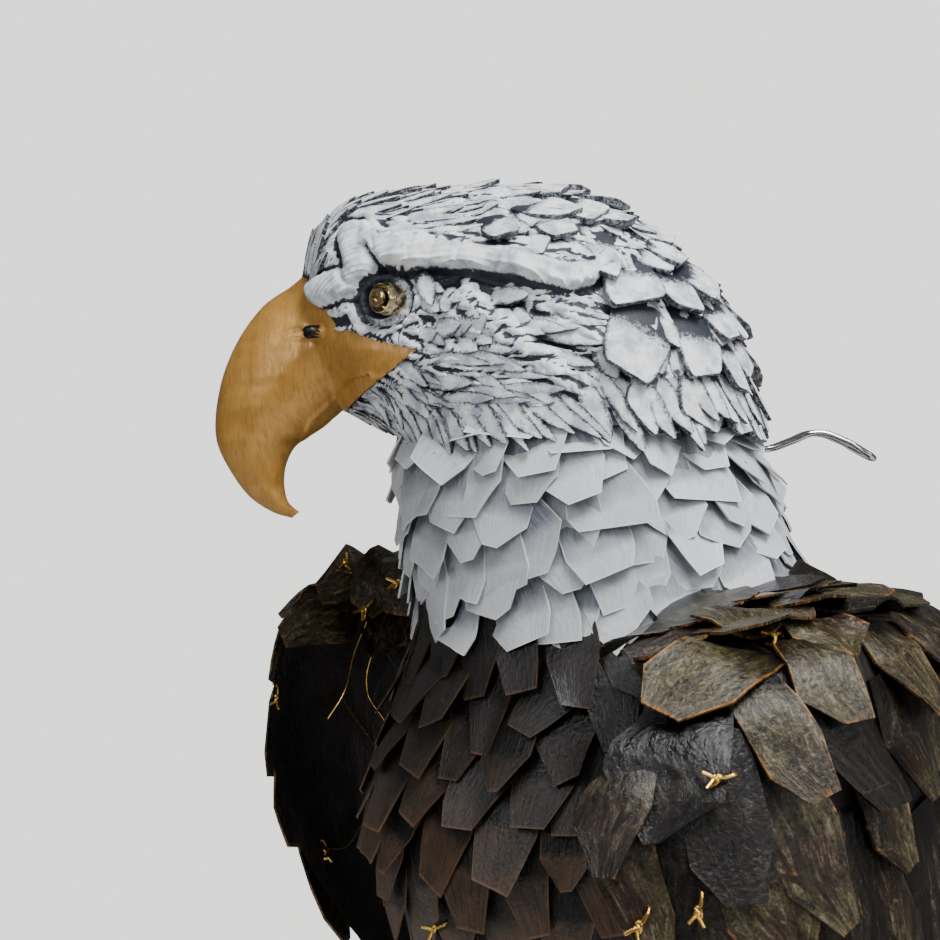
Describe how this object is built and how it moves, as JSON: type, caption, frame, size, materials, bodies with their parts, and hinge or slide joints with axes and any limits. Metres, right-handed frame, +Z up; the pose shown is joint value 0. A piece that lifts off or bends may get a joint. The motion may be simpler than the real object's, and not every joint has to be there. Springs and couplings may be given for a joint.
{
  "type": "eagle sculpture",
  "caption": "Perched eagle sculpture with its head turned aside, covered in overlapping cut plates, on a low round plinth.",
  "frame": {"origin": "middle of the plinth's underside", "axes": "+Z up; the bird's body faces -Y, and its left wing is on +X"},
  "size_m": [0.3583, 0.319, 0.6815],
  "materials": {
    "stained_wood": "dark stained and waxed",
    "dark_hide": "cut plates, dark brown to black, satin",
    "white_hide": "cut plates, brushed with white paint",
    "white_carving": "modelled clay, thick white paint over dark",
    "ochre_paint": "satin gold ochre paint",
    "turned_brass": "turned and polished",
    "olive_hide": "large cut plates, mottled olive brown, waxed",
    "yellow_paint": "satin ochre paint",
    "polished_steel": "polished wire"
  },
  "bodies": {
    "root": {"plinth": "stained_wood", "torso": "dark_hide", "neck": "white_hide", "head": "white_carving", "beak": "ochre_paint", "eye_left": "turned_brass", "eye_right": "turned_brass", "wing_left": "olive_hide", "wing_right": "olive_hide", "tail": "dark_hide", "thigh_left": "dark_hide", "thigh_right": "dark_hide", "foot_left": "yellow_paint", "foot_right": "yellow_paint", "nape_loop": "polished_steel"}
  },
  "joints": []
}
